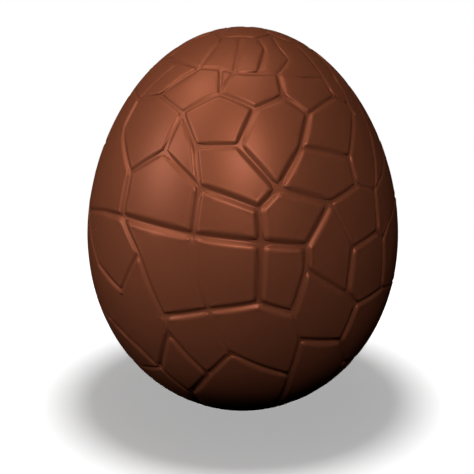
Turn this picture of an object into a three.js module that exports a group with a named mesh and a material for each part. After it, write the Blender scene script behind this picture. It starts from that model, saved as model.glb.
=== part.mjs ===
// A moulded milk chocolate egg with a crackle of shallow grooves all over, standing on its blunt end.
// Millimetres, +Z up, origin at the middle of the flat spot that the egg stands on, front towards -Y.
// A place on the egg is [degrees round from the front, degrees up from the widest part], as on a globe.
import * as THREE from "three";

// The egg
const eggLength = 121.1; // tip to tip, before the flat spot takes about 1 mm off the blunt end
const girthRadius = 48.1;
const bluntness = 0.088; // how much the lower half is fuller than the upper half
const fullness = 0.025; // how much of that the very ends give back
const footRadius = 9;
const footCorners = 25;

// The grooves: how far the shoulder and the edge of the flat floor are from the groove's middle line
const grooves = {
  broad: { shoulder: 1.6, floor: 0.3, depth: 1 },
  plain: { shoulder: 1.4, floor: 0.35, depth: 0.8 },
  soft: { shoulder: 1.6, floor: 0.3, depth: 0.72 },
  slim: { shoulder: 1.15, floor: 0.25, depth: 0.6 },
  fine: { shoulder: 0.95, floor: 0.2, depth: 0.4 },
  faint: { shoulder: 0.8, floor: 0.2, depth: 0.2 },
};
const plateauRim = 0.75; // share of a groove's half width over which the plateau beside it stays flush

// The mesh
const grooveStep = 6.5; // longest piece of groove
const plateauStep = 8; // spacing of the points inside a plateau
const plateauMargin = 3.6; // and how far they keep from the plateau's rim
const leastShoulderRise = 0.15; // a groove gets an extra ring where it drops this much into a deeper one
const straightSides = 0.99; // cosine of the turn below which two sides of a plateau count as one
const leastSpread = 0.02; // keeps the corner between nearly straight sides from running away
const evenTurn = Math.PI + 0.001; // two triangles swap their diagonal where it faces more than this
const smallTurn = 0.01; // degrees, for finding the way out of the egg
const halvings = 50; // steps in finding a place on the outline

// Where the grooves meet on the front half. The back half is the same, turned half way round.
const places = {
  // round the tip
  p1: [-44, 79],
  p2: [-8, 82.5],
  p3: [32, 80],
  p4: [76, 79],
  // the upper shoulder
  a1: [-58, 62],
  a2: [-36, 62],
  a3: [-18, 62.5],
  a4: [-7, 61.5],
  a5: [12, 61],
  a6: [27, 60],
  a7: [28, 72],
  a8: [46, 65],
  b1: [-71, 44],
  b2: [-54, 48.5],
  b3: [-33, 45],
  b4: [-14, 53],
  b5: [6.5, 48],
  b6: [24.5, 51.5],
  b7: [35.5, 44.2],
  b8: [60, 47],
  b9: [62.5, 54],
  // above the girth
  c1: [-36, 32.5],
  c2: [-21.5, 35.5],
  c3: [-2, 36.5],
  c4: [26.4, 34.7],
  c5: [50, 28.7],
  c6: [68, 42.5],
  d1: [-51, 24],
  d2: [-17, 24.2],
  d3: [6, 18.8],
  d4: [13.6, 23.8],
  d5: [34.5, 18],
  d6: [49.5, 20.5],
  d7: [60.5, 17],
  // round the girth
  e1: [-81, 5.7],
  e2: [-50, 11.5],
  e3: [-18, 11],
  e4: [6.5, 9.5],
  e5: [23, 7.5],
  e6: [22.5, 1],
  e7: [42.5, 4],
  e8: [57.5, 5.5],
  e9: [61, 2.5],
  e10: [-39.5, 3],
  f1: [-48.5, -10],
  f2: [-29, -14],
  f4: [-12, -10],
  f5: [5.5, -7.5],
  f6: [17.5, -11.5],
  f7: [39.5, -9],
  f8: [45, -13.5],
  f9: [60.9, -12.7],
  // below the girth
  g1: [-28, -19.5],
  g2: [-4.5, -24.2],
  g3: [21.5, -21],
  g4: [40.5, -25],
  h1: [-37, -35.5],
  h2: [-27, -47],
  h3: [-14.3, -34],
  h4: [20, -35],
  h5: [50, -37],
  // round the foot
  k1: [-80, -61],
  k2: [-31, -62],
  k3: [22, -59],
  k4: [57, -62],
  // down the side, where the two halves meet
  s0: [83, 71],
  s1: [98, 60],
  s2: [83, 43],
  s3: [96, 26],
  s4: [84, 9],
  s5: [97, -4],
  s6: [84, -17],
  s7: [95, -43],
};

// Each groove runs from place to place, with bends between. A star marks a place of the other half.
const crackle = {
  broad: [
    ["e2", "e3", "e4", "e5"],
    ["d3", "e4", "f5"],
  ],
  plain: [
    ["b7", "c4", "d4", "c3", "b5"],
    ["d2", "d3", "d4"],
    ["d2", "e3"],
    ["d1", "e2"],
    ["f2", "f4", "f5", "f6"],
    ["e5", "e6", "f6"],
    ["e7", "f7", "f8", "g4", "g3"],
    ["h1", [-45, -30], [-52, -26.5]],
  ],
  soft: [
    ["d4", "d5", "e5"],
    ["e3", [-16.8, 6]],
  ],
  slim: [
    ["a6", "b6", "b7"],
    ["b4", "b5", "b6"],
    ["b3", "c1", "d1"],
    ["c1", "d2", "c2", "b3"],
    ["c2", "c3"],
    ["c4", "c5"],
    ["b1", [-69, 34], [-63.5, 31], "d1"],
    ["c5", "d6", "d5"],
    ["e2", [-63, 10]],
    ["e2", "e10", "f2"],
    ["e6", "f7"],
    [[-64, -6], "f1"],
    ["e7", "e8", "d7"],
    ["e8", "e9", "f9"],
    ["h3", "g2", "h4"],
    ["f8", "f9"],
    ["g1", "h3", "h2", "h1", "g1"],
    ["g3", "h4", "k3"],
    ["g4", "h5", "k4"],
    [[-52, -26.5], [-62, -23.5]],
    ["h2", "k2"],
    [[-16.8, 6], "f4"],
    ["k1", "k2", "k3", "k4", "*k1"],
  ],
  fine: [
    ["a4", "a5", "a6"],
    ["b4", "a3"],
    ["a5", "a7"],
    ["b1", "b2", "b3", "b4"],
    ["b2", "a2"],
    ["b7", "b8", "b9"],
    ["b8", "c6", [68.5, 39.8], "c5"],
    ["d7", [65.5, 21.5], [75, 31]],
    [[-63, 10], "e1", [-71, -1.5]],
    ["e9", [66.5, 5.5]],
    ["e10", "f1"],
    [[-71, -1.5], [-64, -6]],
    ["h1", [-50, -39.5]],
    ["h5", "s7"],
    ["*k1", "s7"],
  ],
  faint: [
    ["a1", "a2", "a3", "a4"],
    ["b4", "a4"],
    ["a6", "a8", [47, 71], [57, 76], "p4"],
    ["a7", "p3"],
    ["a1", [-64, 57], [-66, 51.5], "b1"],
    ["a2", [-39, 73.5], "p1"],
    ["p1", "p2", "p3", "p4", "*p1"],
    ["a4", [-6, 68], "p2"],
    ["a6", [44.5, 56.5], "b9", [67, 60], [75, 66], "s0", "p4"],
    ["c6", [73, 46.5], [76, 51], "s1"],
    ["d6", "d7"],
    ["d5", "e7"],
    ["f2", "g1"],
    ["f6", "g3"],
    ["f4", [-9.5, -16], [-7, -21], "g2"],
    ["s0", "s1", "s2", "s3", "s4", "s5", "s6", [95, -30], "s7"],
    ["a1", "*s1"],
    ["b1", "*s2"],
    [[75, 31], "s2"],
    ["d7", [73, 19.5], "s3"],
    ["e1", "*s4"],
    [[66.5, 5.5], "s4"],
    [[-62, -23.5], "*s6"],
    ["f9", "s6"],
    [[-50, -39.5], "*s7"],
  ],
};

// The egg's outline

function outlineAt(up) {
  const rise = Math.sin(THREE.MathUtils.degToRad(up));
  const girth = Math.cos(THREE.MathUtils.degToRad(up));
  const swell = 1 - bluntness * rise + fullness * rise ** 3;
  return { radius: girthRadius * girth * swell, height: (eggLength / 2) * rise };
}

function upWhere(test) {
  let low = -90;
  let high = 90;
  for (let step = 0; step < halvings; step += 1) {
    const middle = (low + high) / 2;
    if (test(outlineAt(middle))) high = middle;
    else low = middle;
  }
  return low;
}

// The height of the girth above the flat spot
const girthHeight = -outlineAt(upWhere(({ radius }) => radius > footRadius)).height;

// The point of the egg at a place, and the way out of the egg there
function onEgg(around, up) {
  const turn = THREE.MathUtils.degToRad(around);
  const spread = (radius, height) =>
    new THREE.Vector3(radius * Math.sin(turn), -radius * Math.cos(turn), height);
  const { radius, height } = outlineAt(up);
  const above = outlineAt(Math.min(up + smallTurn, 90));
  const below = outlineAt(Math.max(up - smallTurn, -90));
  return {
    point: spread(radius, Math.max(height + girthHeight, 0)),
    out: spread(above.height - below.height, below.radius - above.radius).normalize(),
  };
}

// The point of the egg straight out from its middle through a given point
function pushedOut(point) {
  const reach = Math.hypot(point.x, point.y);
  const slope = Math.atan2(point.z - girthHeight, reach);
  const up = upWhere(({ radius, height }) => Math.atan2(height, radius) > slope);
  return onEgg(THREE.MathUtils.radToDeg(Math.atan2(point.x, -point.y)), up);
}

// The net of grooves: knots are the places and bends, threads the straight grooves between two of them

const knots = new Map();
const threads = [];

function knotAt(place, half) {
  const other = typeof place === "string" && place.startsWith("*");
  const name = other ? place.slice(1) : String(place);
  const side = other ? 1 - half : half;
  const key = name + "/" + side;
  if (!knots.has(key)) {
    const [around, up] = typeof place === "string" ? places[name] : place;
    knots.set(key, { ...onEgg(around + 180 * side, up), threads: [] });
  }
  return knots.get(key);
}

for (const half of [0, 1]) {
  for (const [kind, runs] of Object.entries(crackle)) {
    for (const run of runs) {
      for (let i = 1; i < run.length; i += 1) {
        const ends = [knotAt(run[i - 1], half), knotAt(run[i], half)];
        const thread = { ends, groove: grooves[kind] };
        threads.push(thread);
        ends.forEach((knot) => knot.threads.push(thread));
      }
    }
  }
}

const farEnd = (thread, knot) => thread.ends[thread.ends[0] === knot ? 1 : 0];

// Each thread's middle line. Where it drops into a deeper groove it gets a point on that one's shoulder.
for (const thread of threads) {
  const [start, end] = thread.ends;
  const length = start.point.distanceTo(end.point);
  thread.reach = length + thread.groove.shoulder;
  const drops = thread.ends.map((knot) => {
    const deepest = knot.threads.reduce((a, b) => (b.groove.depth > a.groove.depth ? b : a)).groove;
    return deepest.depth > thread.groove.depth + leastShoulderRise ? deepest.shoulder / length : 0;
  });
  const from = drops[0];
  const to = 1 - drops[1];
  const count = Math.max(1, Math.round(((to - from) * length) / grooveStep));
  const shares = Array.from({ length: count + 1 }, (_, i) => from + ((to - from) * i) / count);
  if (drops[0]) shares.unshift(0);
  if (drops[1]) shares.push(1);
  thread.shares = shares;
  thread.line = shares.map((share) => pushedOut(start.point.clone().lerp(end.point, share)).point);
}

// How deep the grooves are cut at a point: each slopes from its floor up to its shoulder
function depthAt({ point, out }) {
  let deepest = 0;
  for (const { line, groove, reach } of threads) {
    if (line[0].distanceTo(point) > reach) continue;
    for (let i = 1; i < line.length; i += 1) {
      const piece = new THREE.Line3(line[i - 1], line[i]);
      const nearest = piece.closestPointToPoint(point, true, new THREE.Vector3());
      const aside = nearest.sub(point).projectOnPlane(out).length();
      const share = (groove.shoulder - aside) / (groove.shoulder - groove.floor);
      deepest = Math.max(deepest, groove.depth * THREE.MathUtils.clamp(share, 0, 1));
    }
  }
  return deepest;
}

function carved(spot) {
  return spot.point.clone().addScaledVector(spot.out, -depthAt(spot));
}

for (const thread of threads) {
  thread.floor = thread.line.map((point) => carved(pushedOut(point)));
}

// The plateaus: the fields that the net leaves, each walked round its edge with the field on the left

function bearing(knot, thread) {
  const towards = farEnd(thread, knot).point.clone().sub(knot.point);
  const east = new THREE.Vector3(-knot.out.y, knot.out.x, 0).normalize();
  const north = knot.out.clone().cross(east);
  return Math.atan2(towards.dot(north), towards.dot(east));
}

for (const knot of knots.values()) knot.threads.sort((a, b) => bearing(knot, a) - bearing(knot, b));

function walkRound(knot, thread, walked) {
  const sides = [];
  while (!walked.has(thread) || !walked.get(thread).has(knot)) {
    if (!walked.has(thread)) walked.set(thread, new Set());
    walked.get(thread).add(knot);
    sides.push({ knot, thread });
    knot = farEnd(thread, knot);
    const at = knot.threads.indexOf(thread);
    thread = knot.threads[(at + knot.threads.length - 1) % knot.threads.length];
  }
  return sides;
}

const fields = [];
const walked = new Map();
for (const thread of threads) {
  for (const knot of thread.ends) {
    const sides = walkRound(knot, thread, walked);
    if (sides.length) fields.push(sides);
  }
}

// The corner of a field, moved in so that it is the given distances from the sides before and after it
function cornerIn(before, after, reachBefore, reachAfter) {
  const { point, out } = after.knot;
  const inward = ({ knot, thread }) => {
    const along = farEnd(thread, knot).point.clone().sub(knot.point);
    return out.clone().cross(along).normalize();
  };
  const a = inward(before);
  const b = inward(after);
  const lean = a.dot(b);
  const straight = lean > straightSides;
  const spread = Math.max(1 - lean * lean, leastSpread);
  const shareA = straight ? reachBefore / 2 : (reachBefore - reachAfter * lean) / spread;
  const shareB = straight ? reachAfter / 2 : (reachAfter - reachBefore * lean) / spread;
  return point.clone().addScaledVector(a, shareA).addScaledVector(b, shareB);
}

// The ring round a field at a reach from its grooves' middle lines. Each side keeps its number of points.
function ringIn(sides, reachOf) {
  const corners = sides.map((side, i) => {
    const before = sides.at(i - 1);
    return cornerIn(before, side, reachOf(before.thread.groove), reachOf(side.thread.groove));
  });
  return sides.flatMap(({ knot, thread }, i) => {
    const [from, to] = [corners[i], corners[(i + 1) % sides.length]];
    const forward = thread.ends[0] === knot;
    const shares = forward ? thread.shares : thread.shares.map((share) => 1 - share).reverse();
    return shares.slice(0, -1).map((share) => pushedOut(from.clone().lerp(to, share)));
  });
}

function middleRing(sides) {
  return sides.flatMap(({ knot, thread }) => {
    const line = thread.ends[0] === knot ? thread.floor : thread.floor.toReversed();
    return line.slice(0, -1);
  });
}

// The triangles of a flat outline with loose points inside, evened out by swapping the diagonals
function triangulated(outline, loose) {
  const flat = [...outline, ...loose];
  const faces = THREE.ShapeUtils.triangulateShape(outline.map((p) => p.clone()), []);
  const area = (a, b, c) => (b.x - a.x) * (c.y - a.y) - (b.y - a.y) * (c.x - a.x);
  loose.forEach((point, i) => {
    const leftOf = (a, b) => area(flat[a], flat[b], point) > 0;
    const at = faces.findIndex(([a, b, c]) => leftOf(a, b) && leftOf(b, c) && leftOf(c, a));
    if (at < 0) return;
    const [a, b, c] = faces[at];
    const next = outline.length + i;
    faces.splice(at, 1, [a, b, next], [b, c, next], [c, a, next]);
  });
  const cosine = (apex, a, b) => {
    const left = flat[a].clone().sub(flat[apex]).normalize();
    return left.dot(flat[b].clone().sub(flat[apex]).normalize());
  };
  for (let swapped = true; swapped; ) {
    swapped = false;
    const owners = new Map();
    faces.forEach((face, f) => face.forEach((a, i) => owners.set(a + ">" + face[(i + 1) % 3], f)));
    for (let f = 0; f < faces.length && !swapped; f += 1) {
      for (let i = 0; i < 3 && !swapped; i += 1) {
        const [a, b, c] = [faces[f][i], faces[f][(i + 1) % 3], faces[f][(i + 2) % 3]];
        const other = owners.get(b + ">" + a);
        if (other === undefined) continue;
        const d = faces[other].find((corner) => corner !== a && corner !== b);
        const crosses = area(flat[c], flat[a], flat[d]) > 0 && area(flat[d], flat[b], flat[c]) > 0;
        const wide = Math.acos(cosine(c, a, b)) + Math.acos(cosine(d, a, b)) > evenTurn;
        if (!crosses || !wide) continue;
        faces[f] = [c, a, d];
        faces[other] = [d, b, c];
        swapped = true;
      }
    }
  }
  return faces;
}

function insideOutline(point, outline, margin) {
  let inside = false;
  outline.forEach((a, i) => {
    const b = outline[(i + 1) % outline.length];
    if (a.y > point.y === b.y > point.y) return;
    const crossing = a.x + ((b.x - a.x) * (point.y - a.y)) / (b.y - a.y);
    if (point.x < crossing) inside = !inside;
  });
  const near = outline.some((a, i) => {
    const b = outline[(i + 1) % outline.length];
    const along = b.clone().sub(a);
    const share = THREE.MathUtils.clamp(point.clone().sub(a).dot(along) / along.lengthSq(), 0, 1);
    return a.clone().addScaledVector(along, share).distanceTo(point) < margin;
  });
  return inside && !near;
}

// The top of a plateau, on the egg itself. The one at the foot also holds the rim of the flat spot.
function plateauFaces(rim) {
  const middle = rim.reduce((sum, { point }) => sum.add(point), new THREE.Vector3());
  const { point: centre, out } = pushedOut(middle.divideScalar(rim.length));
  const atFoot = centre.z < girthHeight && Math.hypot(centre.x, centre.y) < footRadius;
  if (atFoot) {
    out.set(0, 0, -1);
    centre.set(0, 0, 0);
  }
  const across = new THREE.Vector3(out.z, 0, -out.x).normalize();
  const upward = out.clone().cross(across);
  const flatten = (p) => {
    const offset = p.clone().sub(centre);
    return new THREE.Vector2(offset.dot(across), offset.dot(upward));
  };
  const outline = rim.map(({ point }) => flatten(point));
  const spots = [];
  if (atFoot) {
    for (let i = 0; i < footCorners; i += 1) {
      const turn = (2 * Math.PI * i) / footCorners;
      spots.push(new THREE.Vector3(footRadius * Math.sin(turn), footRadius * Math.cos(turn), 0));
    }
  }
  const rowStep = plateauStep * Math.sqrt(0.75); // rows of equal-sided triangles
  const rows = Math.ceil(Math.max(...outline.map((corner) => corner.length())) / rowStep);
  for (let row = -rows; row <= rows; row += 1) {
    for (let column = -rows; column <= rows; column += 1) {
      const x = (column + (row % 2) / 2) * plateauStep;
      const y = row * rowStep;
      const tooNearFoot = atFoot && Math.hypot(x, y) < footRadius + plateauMargin;
      if (tooNearFoot || !insideOutline(new THREE.Vector2(x, y), outline, plateauMargin)) continue;
      const inPlane = centre.clone().addScaledVector(across, x).addScaledVector(upward, y);
      spots.push(carved(pushedOut(inPlane)));
    }
  }
  const corners = [...rim.map(carved), ...spots];
  return triangulated(outline, spots.map(flatten)).map((face) => face.map((i) => corners[i]));
}

function band(outer, inner) {
  return outer.flatMap((point, i) => {
    const next = (i + 1) % outer.length;
    return [
      [point, outer[next], inner[next]],
      [point, inner[next], inner[i]],
    ];
  });
}

function fieldFaces(sides) {
  const floorEdge = ringIn(sides, ({ floor }) => floor).map(carved);
  const shoulder = ringIn(sides, (groove) => groove.shoulder).map(carved);
  const rim = ringIn(sides, ({ shoulder }) => shoulder * (1 + plateauRim));
  return [
    ...band(middleRing(sides), floorEdge),
    ...band(floorEdge, shoulder),
    ...band(shoulder, rim.map(carved)),
    ...plateauFaces(rim),
  ];
}

// The egg is one solid
const chocolate = new THREE.MeshStandardMaterial({ color: 0x6b3724, roughness: 0.42, metalness: 0 });

function eggMesh() {
  const corners = fields.flatMap(fieldFaces).flat();
  const geometry = new THREE.BufferGeometry().setFromPoints(corners);
  geometry.computeVertexNormals();
  const mesh = new THREE.Mesh(geometry, chocolate);
  mesh.name = "egg";
  return mesh;
}

const chocolateEgg = new THREE.Group();
chocolateEgg.add(eggMesh());

export default chocolateEgg;
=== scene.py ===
# A moulded milk chocolate egg with a crackle of grooves, on a pale table in a small light tent. Metres.
import math

import bmesh
import bpy
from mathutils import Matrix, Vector


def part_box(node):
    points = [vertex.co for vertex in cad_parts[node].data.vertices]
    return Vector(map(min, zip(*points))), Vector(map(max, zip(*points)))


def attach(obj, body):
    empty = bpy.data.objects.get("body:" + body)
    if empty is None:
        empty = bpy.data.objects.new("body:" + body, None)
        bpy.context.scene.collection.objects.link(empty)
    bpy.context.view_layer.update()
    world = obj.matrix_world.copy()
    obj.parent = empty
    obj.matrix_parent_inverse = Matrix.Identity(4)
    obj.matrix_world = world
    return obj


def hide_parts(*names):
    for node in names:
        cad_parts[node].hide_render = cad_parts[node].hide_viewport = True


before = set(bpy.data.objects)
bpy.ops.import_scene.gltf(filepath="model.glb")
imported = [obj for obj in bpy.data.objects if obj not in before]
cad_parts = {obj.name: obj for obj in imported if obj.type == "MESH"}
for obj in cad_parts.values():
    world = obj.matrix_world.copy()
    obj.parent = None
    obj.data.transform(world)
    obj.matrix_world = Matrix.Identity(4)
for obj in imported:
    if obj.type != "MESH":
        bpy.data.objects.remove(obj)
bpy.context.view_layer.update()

# Camera: a long lens from a little above the egg
cameraLook = {
    "lens": 135,  # millimetres
    "sensorWidth": 36,  # millimetres
    "place": (0, -0.518, 0.248),
    "aim": (-0.0018, 0, 0.0541),
}


def addCamera(look):
    bpy.ops.object.camera_add(location=look["place"])
    camera = bpy.context.object
    camera.data.lens = look["lens"]
    camera.data.sensor_width = look["sensorWidth"]
    sight = Vector(look["aim"]) - camera.location
    camera.rotation_euler = sight.to_track_quat("-Z", "Y").to_euler()
    bpy.context.scene.camera = camera


addCamera(cameraLook)
print("camera placed")


# Small helper for shader maths: a Value wraps a socket, and an expression on values adds its nodes
class Value:
    def __init__(self, tree, socket):
        self.tree = tree
        self.socket = socket

    def math(self, operation, first, second):
        made = addNode(self.tree, "ShaderNodeMath", {"operation": operation}, {0: first, 1: second})
        return Value(self.tree, made.outputs["Value"])

    def __add__(self, other):
        return self.math("ADD", self, other)

    def __radd__(self, other):
        return self.math("ADD", other, self)

    def __sub__(self, other):
        return self.math("SUBTRACT", self, other)

    def __rsub__(self, other):
        return self.math("SUBTRACT", other, self)

    def __mul__(self, other):
        return self.math("MULTIPLY", self, other)

    def __rmul__(self, other):
        return self.math("MULTIPLY", other, self)


# A socket goes by its name, or by its number where sockets share a name
def addNode(tree, kind, settings, sockets):
    made = tree.nodes.new(kind)
    for name, setting in settings.items():
        setattr(made, name, setting)
    for place, source in sockets.items():
        if isinstance(source, Value):
            tree.links.new(source.socket, made.inputs[place])
        else:
            made.inputs[place].default_value = source
    return made


# Chocolate
chocolateLook = {
    "brown": (0.145, 0.0425, 0.0203, 1),
    "darkBrown": (0.132, 0.0385, 0.0184, 1),
    "rubbedBrown": (0.16, 0.048, 0.024, 1),
    "clouds": {"perMetre": 45, "detail": 4, "roughness": 0.55},  # of the brown in the dark brown
    "specks": {"perMetre": 900, "detail": 2, "roughness": 0.5},  # of the rubbed brown on top
    "grain": {"perMetre": 2600, "detail": 3, "roughness": 0.6},
    "speckStart": 0.55,  # specks show where their noise is above this
    "speckStrength": 1.5,
    "grainHeight": 0.00002,
    "grainStrength": 1,
    "gloss": 1,
    "glossTint": (1, 0.27, 0.125, 1),
    "roughness": 0.46,
    "roughnessSpread": 0.08,
    "sheen": 0.07,
    "sheenRoughness": 0.36,
    "subsurface": 0.04,
    "subsurfaceReach": 0.0012,
}
noiseMiddle = 0.5  # a noise varies round this value


def makeChocolate(look):
    material = bpy.data.materials.new("milk_chocolate")
    material.use_nodes = True
    tree = material.node_tree
    tree.nodes.clear()
    place = Value(tree, addNode(tree, "ShaderNodeTexCoord", {}, {}).outputs["Object"])

    def noise(perMetre, detail, roughness):
        sockets = {"Vector": place, "Scale": perMetre, "Detail": detail, "Roughness": roughness}
        return Value(tree, addNode(tree, "ShaderNodeTexNoise", {}, sockets).outputs[0])

    # Sockets 6 and 7 and output 2 are the Mix node's colours
    def mixed(amount, fromColor, toColor):
        sockets = {0: amount, 6: fromColor, 7: toColor}
        return Value(tree, addNode(tree, "ShaderNodeMix", {"data_type": "RGBA"}, sockets).outputs[2])

    clouds = noise(**look["clouds"])
    specks = noise(**look["specks"])
    grain = noise(**look["grain"])
    clouded = mixed(clouds, look["darkBrown"], look["brown"])
    rubbed = mixed((specks - look["speckStart"]) * look["speckStrength"], clouded, look["rubbedBrown"])
    grainSockets = {"Height": grain, "Distance": look["grainHeight"], "Strength": look["grainStrength"]}
    bump = addNode(tree, "ShaderNodeBump", {}, grainSockets)
    surface = {
        "Base Color": rubbed,
        "Roughness": look["roughness"] + look["roughnessSpread"] * (clouds - noiseMiddle),
        "Normal": Value(tree, bump.outputs["Normal"]),
        "Specular IOR Level": look["gloss"],
        "Specular Tint": look["glossTint"],
        "Coat Weight": look["sheen"],
        "Coat Roughness": look["sheenRoughness"],
        "Subsurface Weight": look["subsurface"],
        "Subsurface Scale": look["subsurfaceReach"],
    }
    shader = addNode(tree, "ShaderNodeBsdfPrincipled", {}, surface)
    addNode(tree, "ShaderNodeOutputMaterial", {}, {"Surface": Value(tree, shader.outputs["BSDF"])})
    return material


# The egg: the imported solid's copy, its arrises softened and its plateaus laid on a smooth egg
eggLook = {
    "bluntness": 0.088,  # how much the lower half is fuller than the upper half
    "fullness": 0.025,  # how much of that the very ends give back
    "cutOff": 0.00095,  # what the flat spot takes off the blunt end
    "skinDrop": 0.00003,  # how far inside the solid's girth the smooth egg stays
    "skinRings": 64,
    "skinSteps": 96,
    "skinLevels": 2,
    "levels": 2,
    "mergeWithin": 0.00001,
    "quadBend": 25,  # two triangles that bend by more degrees aren't joined
    "quadSkew": 60,  # nor are two whose corners are more degrees off square
    "onSkinWithin": 0.00005,  # a corner less deep than this is on a plateau
    "creaseAngle": 12,  # an edge that bends by fewer degrees isn't creased
    "floorCrease": 0.15,
    "shoulderCrease": 0.05,
    "spokeCrease": 1,  # spokes are the ridges that run down into a groove
    "steepness": 0.2,  # a ridge that drops less than this share of its length isn't a spoke
    "cornerAngle": 15,  # a shoulder that turns by fewer degrees keeps no corner
    "cornerCrease": 1,
    "footEdge": 0.00002,  # only the flat spot is lower than this
    "footFlatness": 0.001,
    "footCrease": 0.9,
}


def choose(piece):
    bpy.ops.object.select_all(action="DESELECT")
    piece.select_set(True)
    bpy.context.view_layer.objects.active = piece


def applyModifier(piece, kind, **settings):
    modifier = piece.modifiers.new(kind.title(), kind)
    for name, setting in settings.items():
        setattr(modifier, name, setting)
    choose(piece)
    bpy.ops.object.modifier_apply(modifier=modifier.name)


# A plain egg without grooves, which the plateaus are laid on
def makeSkin(look, low, high):
    half = (high.z - low.z + look["cutOff"]) / 2
    profile = []
    for ring in range(look["skinRings"] + 1):
        up = math.pi * (ring / look["skinRings"] - 0.5)
        rise = math.sin(up)
        swell = 1 - look["bluntness"] * rise + look["fullness"] * rise**3
        profile.append([math.cos(up) * swell, 0, half * (1 + rise) - look["cutOff"]])
    girthRadius = (high.x - low.x) / 2 - look["skinDrop"]
    widest = max(point[0] for point in profile)
    for point in profile:
        point[0] *= girthRadius / widest
    mesh = bpy.data.meshes.new("skin")
    mesh.from_pydata(profile, [(i, i + 1) for i in range(look["skinRings"])], [])
    skin = bpy.data.objects.new("skin", mesh)
    bpy.context.collection.objects.link(skin)
    choose(skin)
    bpy.ops.object.mode_set(mode="EDIT")
    bpy.ops.mesh.select_all(action="SELECT")
    bpy.ops.mesh.spin(steps=look["skinSteps"], angle=math.tau, center=(0, 0, 0), axis=(0, 0, 1))
    bpy.ops.mesh.select_all(action="SELECT")
    bpy.ops.mesh.remove_doubles(threshold=look["mergeWithin"])
    bpy.ops.mesh.normals_make_consistent(inside=False)
    bpy.ops.object.mode_set(mode="OBJECT")
    return skin


def copySolid(look):
    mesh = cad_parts["egg"].data.copy()
    mesh.materials.clear()
    egg = bpy.data.objects.new("moulded_egg", mesh)
    bpy.context.collection.objects.link(egg)
    choose(egg)
    bend = math.radians(look["quadBend"])
    skew = math.radians(look["quadSkew"])
    bpy.ops.object.mode_set(mode="EDIT")
    bpy.ops.mesh.select_all(action="SELECT")
    bpy.ops.mesh.remove_doubles(threshold=look["mergeWithin"])
    bpy.ops.mesh.tris_convert_to_quads(face_threshold=bend, shape_threshold=skew)
    bpy.ops.object.mode_set(mode="OBJECT")
    return egg


def depthUnder(skin, point):
    _, nearest, outward, _ = skin.closest_point_on_mesh(point)
    return (nearest - point).dot(outward)


def isFootRim(edge, look):
    onFoot = all(corner.co.z < look["footEdge"] for corner in edge.verts)
    flat = [abs(face.normal.z + 1) < look["footFlatness"] for face in edge.link_faces]
    return onFoot and any(flat) and not all(flat)


def creaseEdges(model, layer, depth, look):
    for edge in model.edges:
        bend = math.degrees(edge.calc_face_angle_signed(0))
        start, end = edge.verts
        steep = abs(depth[start] - depth[end]) > look["steepness"] * edge.calc_length()
        if bend < -look["creaseAngle"]:
            edge[layer] = look["floorCrease"]
        elif bend > look["creaseAngle"]:
            edge[layer] = look["spokeCrease"] if steep else look["shoulderCrease"]
        if isFootRim(edge, look):
            edge[layer] = look["footCrease"]


# Whether an edge runs along a plateau's shoulder: one of its faces goes down into the groove, one doesn't
def isAlong(edge, shoulder, onSkin):
    if not all(corner in shoulder for corner in edge.verts):
        return False
    falls = [any(corner not in onSkin for corner in face.verts) for face in edge.link_faces]
    return any(falls) and not all(falls)


def creaseCorners(model, layer, onSkin, look):
    shoulder = {c for c in onSkin if any(edge.other_vert(c) not in onSkin for edge in c.link_edges)}
    for corner in shoulder:
        sides = [edge for edge in corner.link_edges if isAlong(edge, shoulder, onSkin)]
        if len(sides) != 2:
            continue
        before, after = [side.other_vert(corner).co for side in sides]
        turn = (before - corner.co).angle(corner.co - after, 0)
        if math.degrees(turn) > look["cornerAngle"]:
            corner[layer] = look["cornerCrease"]


# The corners that have only plateau round them, as numbers in the mesh
def findPlateau(model, onSkin, look):
    plateau = []
    for corner in model.verts:
        around = {edge.other_vert(corner) for edge in corner.link_edges}
        if corner.co.z > look["footEdge"] and corner in onSkin and around <= onSkin:
            plateau.append(corner.index)
    return plateau


def creaseAndGroup(egg, skin, look):
    model = bmesh.new()
    model.from_mesh(egg.data)
    edgeLayer = model.edges.layers.float.new("crease_edge")
    cornerLayer = model.verts.layers.float.new("crease_vert")
    depth = {corner: depthUnder(skin, corner.co) for corner in model.verts}
    onSkin = {corner for corner in model.verts if depth[corner] < look["onSkinWithin"]}
    creaseEdges(model, edgeLayer, depth, look)
    creaseCorners(model, cornerLayer, onSkin, look)
    plateau = findPlateau(model, onSkin, look)
    model.to_mesh(egg.data)
    model.free()
    egg.vertex_groups.new(name="plateau").add(plateau, 1, "REPLACE")
    print("plateau corners", len(plateau), "of", len(egg.data.vertices))


def makeEgg(look):
    low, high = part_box("egg")
    skin = makeSkin(look, Vector(low), Vector(high))
    egg = copySolid(look)
    creaseAndGroup(egg, skin, look)
    applyModifier(skin, "SUBSURF", levels=look["skinLevels"], render_levels=look["skinLevels"])
    applyModifier(egg, "SUBSURF", levels=look["levels"], render_levels=look["levels"])
    applyModifier(
        egg,
        "SHRINKWRAP",
        target=skin,
        vertex_group="plateau",
        wrap_method="NEAREST_SURFACEPOINT",
        wrap_mode="ON_SURFACE",
    )
    bpy.data.objects.remove(skin)
    choose(egg)
    bpy.ops.object.shade_smooth()
    egg.data.materials.append(makeChocolate(chocolateLook))
    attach(egg, "root")
    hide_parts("egg")
    print("egg finished,", len(egg.data.polygons), "faces")
    return egg


egg = makeEgg(eggLook)

# Table: a small sheet of white paper, which the white tent round it takes over from
tableLook = {"size": 0.28, "white": (0.8, 0.8, 0.8, 1), "roughness": 0.9, "gloss": 0.1}


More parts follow.
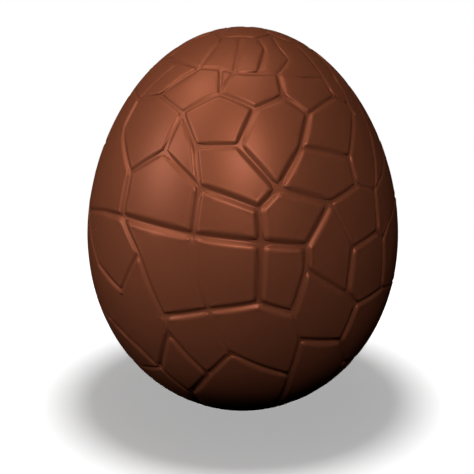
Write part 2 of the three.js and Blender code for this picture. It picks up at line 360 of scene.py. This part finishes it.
def addTable(look):
    bpy.ops.object.select_all(action="DESELECT")
    bpy.ops.mesh.primitive_plane_add(size=look["size"])
    table = bpy.context.object
    table.name = "table_top"
    material = bpy.data.materials.new("white_paper")
    material.use_nodes = True
    paper = material.node_tree.nodes["Principled BSDF"].inputs
    paper["Base Color"].default_value = look["white"]
    paper["Roughness"].default_value = look["roughness"]
    paper["Specular IOR Level"].default_value = look["gloss"]
    table.data.materials.append(material)
    table.visible_diffuse = False  # so that the paper doesn't brighten the egg's foot
    table.visible_glossy = False
    return table


table = addTable(tableLook)
print("table laid")

# Light: place from the egg's middle as degrees round from the front, degrees up, and metres away
white = (1, 1, 1)
warmWhite = (1, 0.88, 0.72)
lights = {
    "left_softbox": {"round": -69, "up": 26, "away": 0.6, "size": 0.26, "watts": 1.55, "color": white},
    "upper_softbox": {"round": -84, "up": 60, "away": 0.6, "size": 0.2, "watts": 1.04, "color": warmWhite},
    "front_softbox": {"round": 1, "up": 39, "away": 0.6, "size": 0.16, "watts": 2.2, "color": white},
    "overhead_card": {"round": 0, "up": 90, "away": 0.6, "size": 0.2, "watts": 0.66, "color": warmWhite},
    "back_fill": {"round": 180, "up": 15, "away": 0.6, "size": 0.3, "watts": 2, "color": white},
    "right_fill": {"round": 122, "up": 0, "away": 0.6, "size": 0.1, "watts": 0.18, "color": white},
}
tableLights = {
    "table_lamp": {"round": 180, "up": 88, "away": 0.21, "size": 0.105, "watts": 1, "color": white},
    "table_fill": {"round": 0, "up": 90, "away": 1.5, "size": 1, "watts": 14.6, "color": white},
}
eggMiddle = Vector((0, 0, 0.06))


def addLight(name, look):
    turn = math.radians(look["round"])
    up = math.radians(look["up"])
    out = Vector((math.sin(turn) * math.cos(up), -math.cos(turn) * math.cos(up), math.sin(up)))
    bpy.ops.object.light_add(type="AREA", location=eggMiddle + out * look["away"])
    light = bpy.context.object
    light.name = name
    light.rotation_euler = (-out).to_track_quat("-Z", "Y").to_euler()
    light.data.shape = "DISK"
    light.data.size = look["size"]
    light.data.energy = look["watts"]
    light.data.color = look["color"]
    return light


# One set of lights reaches only the egg, the other only the table
def addLights(egg, table):
    eggOnly = bpy.data.collections.new("egg_only")
    eggOnly.objects.link(egg)
    tableOnly = bpy.data.collections.new("table_only")
    tableOnly.objects.link(table)
    for name, look in lights.items():
        addLight(name, look).light_linking.receiver_collection = eggOnly
    for name, look in tableLights.items():
        addLight(name, look).light_linking.receiver_collection = tableOnly
    # The fills from behind leave no glint along the egg's rim
    for name in ("back_fill", "right_fill"):
        bpy.data.objects[name].visible_glossy = False
    # The table's fill passes the egg by, so that its shadow keeps one even grey
    bpy.data.objects["table_fill"].light_linking.blocker_collection = tableOnly


addLights(egg, table)
print("lights set")


# World: the camera sees the white tent, and the egg doesn't
def setWorld():
    world = bpy.data.worlds.new("tent")
    bpy.context.scene.world = world
    world.use_nodes = True
    tree = world.node_tree
    seen = addNode(tree, "ShaderNodeLightPath", {}, {}).outputs["Is Camera Ray"]
    tent = tree.nodes["Background"].inputs
    tent["Color"].default_value = (*white, 1)
    tree.links.new(seen, tent["Strength"])


setWorld()
scene = bpy.context.scene
scene.view_settings.view_transform = "Standard"
scene.cycles.use_denoising = True
print("world set")
